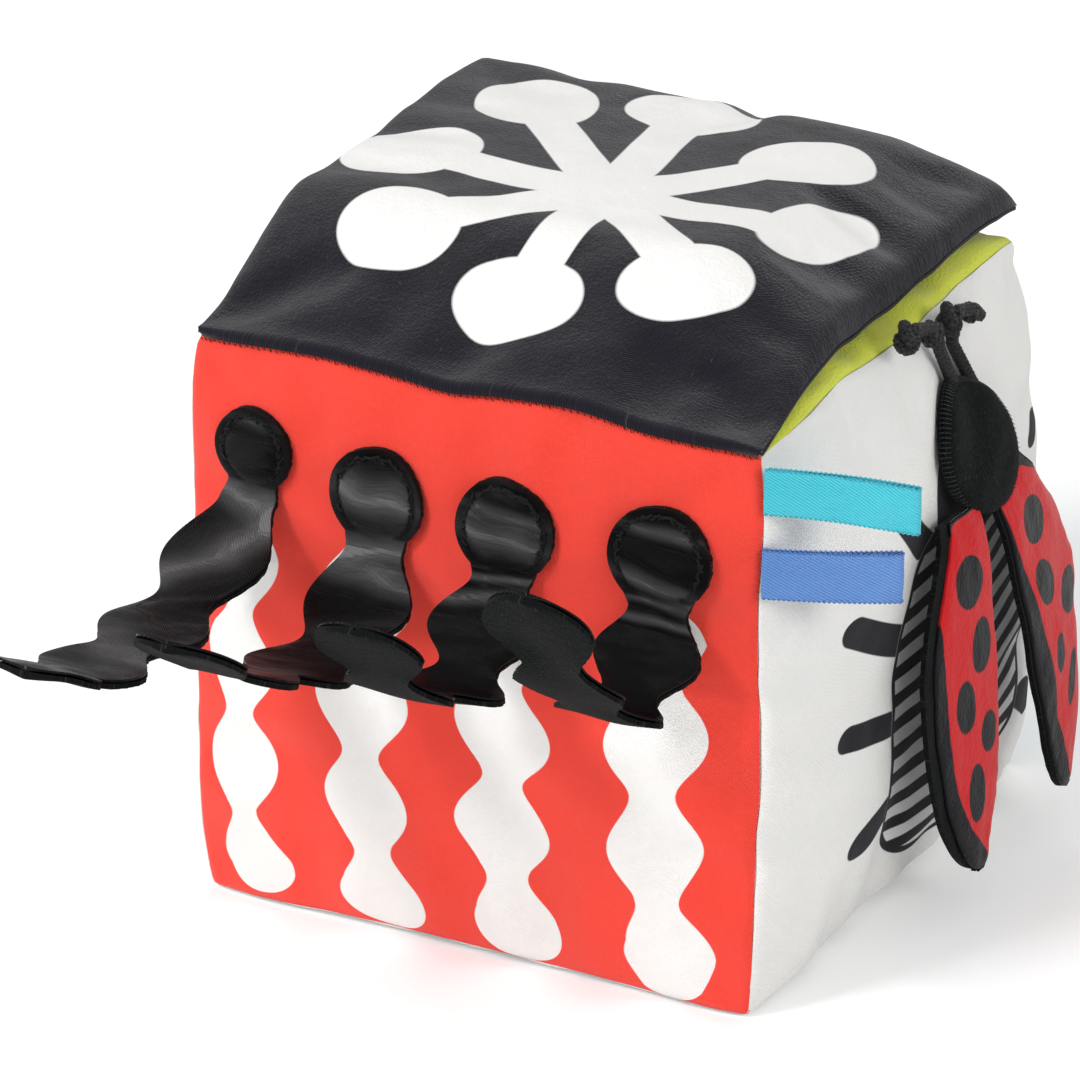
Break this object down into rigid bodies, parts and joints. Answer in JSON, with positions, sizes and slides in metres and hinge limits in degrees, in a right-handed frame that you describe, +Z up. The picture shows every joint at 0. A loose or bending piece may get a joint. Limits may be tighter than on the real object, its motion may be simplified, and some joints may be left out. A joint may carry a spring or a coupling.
{
  "type": "soft fabric activity block",
  "caption": "Soft foam cube in printed fabric with curled satin strips, folded ribbon tags, a ladybird with a padded head, cord feelers and lift-up wings, and a padded flap on top.",
  "frame": {"origin": "middle of the bottom panel, where the block rests", "axes": "+X to the right along the front panel, +Y to the back panel, +Z up"},
  "size_m": [0.1922, 0.2716, 0.172],
  "materials": {
    "front_fabric": "printed red woven polyester twill",
    "back_fabric": "printed dark teal woven polyester",
    "side_fabric": "printed white woven polyester",
    "left_fabric": "plain white woven polyester",
    "top_fabric": "lime short-pile plush",
    "base_fabric": "plain pale woven polyester",
    "foam": "soft open-cell foam",
    "strip_satin": "black satin",
    "strip_felt": "black felt with cut edges",
    "teal_ribbon": "teal satin ribbon",
    "blue_ribbon": "blue satin ribbon",
    "face_felt": "black felt with whip stitches round its edge",
    "wadding": "polyester wadding",
    "feeler_cord": "black braided cord",
    "wing_satin": "red satin printed with black spots and a black border",
    "wing_felt": "black felt with cut edges",
    "flap_plush": "black short-pile fabric with a white print",
    "flap_lining": "plain black woven lining"
  },
  "bodies": {
    "block": {"foam_core": "foam", "front_panel": "front_fabric", "back_panel": "back_fabric", "right_panel": "side_fabric", "left_panel": "left_fabric", "top_panel": "top_fabric", "bottom_panel": "base_fabric", "strip_1_head_felt": "strip_felt", "strip_1_head_satin": "strip_satin", "strip_2_head_felt": "strip_felt", "strip_2_head_satin": "strip_satin", "strip_3_head_felt": "strip_felt", "strip_3_head_satin": "strip_satin", "strip_4_head_felt": "strip_felt", "strip_4_head_satin": "strip_satin", "ladybird_head_back": "face_felt", "ladybird_head_wadding": "wadding", "ladybird_head_front": "face_felt"},
    "strip_1": {"strip_1_tail_felt": "strip_felt", "strip_1_tail_satin": "strip_satin"},
    "strip_2": {"strip_2_tail_felt": "strip_felt", "strip_2_tail_satin": "strip_satin"},
    "strip_3": {"strip_3_tail_felt": "strip_felt", "strip_3_tail_satin": "strip_satin"},
    "strip_4": {"strip_4_tail_felt": "strip_felt", "strip_4_tail_satin": "strip_satin"},
    "ribbon_teal": {"ribbon_teal": "teal_ribbon"},
    "ribbon_blue": {"ribbon_blue": "blue_ribbon"},
    "feeler_left": {"feeler_left": "feeler_cord"},
    "feeler_right": {"feeler_right": "feeler_cord"},
    "wing_left": {"wing_left_felt": "wing_felt", "wing_left_wadding": "wadding", "wing_left_satin": "wing_satin"},
    "wing_right": {"wing_right_felt": "wing_felt", "wing_right_wadding": "wadding", "wing_right_satin": "wing_satin"},
    "flap": {"flap_cover": "flap_plush", "flap_lining": "flap_lining", "flap_wadding": "wadding"}
  },
  "joints": [
    {"name": "flap_hinge", "type": "hinge", "parent": "block", "child": "flap", "pos_m": [0, -0.0745, 0.1495], "axis": [1, 0, 0], "range_deg": [0, 120]},
    {"name": "strip_1_swing", "type": "hinge", "parent": "block", "child": "strip_1", "pos_m": [-0.0548, -0.08007, 0.11201], "axis": [-1, 0, 0], "range_deg": [0, 30]},
    {"name": "strip_2_swing", "type": "hinge", "parent": "block", "child": "strip_2", "pos_m": [-0.02119, -0.08172, 0.10718], "axis": [-1, 0, 0], "range_deg": [0, 30]},
    {"name": "strip_3_swing", "type": "hinge", "parent": "block", "child": "strip_3", "pos_m": [0.01281, -0.08181, 0.10657], "axis": [-1, 0, 0], "range_deg": [0, 30]},
    {"name": "strip_4_swing", "type": "hinge", "parent": "block", "child": "strip_4", "pos_m": [0.052, -0.08047, 0.10687], "axis": [-1, 0, 0], "range_deg": [0, 30]},
    {"name": "ribbon_teal_swing", "type": "hinge", "parent": "block", "child": "ribbon_teal", "pos_m": [0.07636, -0.07506, 0.1368], "axis": [0, 0, 1], "range_deg": [-70, 45], "stiffness_Nm_per_rad": 0.0005},
    {"name": "ribbon_blue_swing", "type": "hinge", "parent": "block", "child": "ribbon_blue", "pos_m": [0.07577, -0.07447, 0.1158], "axis": [0, 0, 1], "range_deg": [-85, 30], "stiffness_Nm_per_rad": 0.0005},
    {"name": "wing_left_lift", "type": "hinge", "parent": "block", "child": "wing_left", "pos_m": [0.08845, 0.01797, 0.09768], "axis": [-0.0384, -0.9989, 0.0262], "range_deg": [0, 75]},
    {"name": "wing_right_lift", "type": "hinge", "parent": "block", "child": "wing_right", "pos_m": [0.08835, 0.02256, 0.09707], "axis": [0.1391, -0.9749, -0.1736], "range_deg": [0, 75]},
    {"name": "feeler_left_bend", "type": "hinge", "parent": "block", "child": "feeler_left", "pos_m": [0.08195, 0.01, 0.12965], "axis": [0, 1, 0], "range_deg": [0, 40], "stiffness_Nm_per_rad": 0.002},
    {"name": "feeler_right_bend", "type": "hinge", "parent": "block", "child": "feeler_right", "pos_m": [0.08142, 0.017, 0.1325], "axis": [0, 1, 0], "range_deg": [0, 40], "stiffness_Nm_per_rad": 0.002}
  ]
}
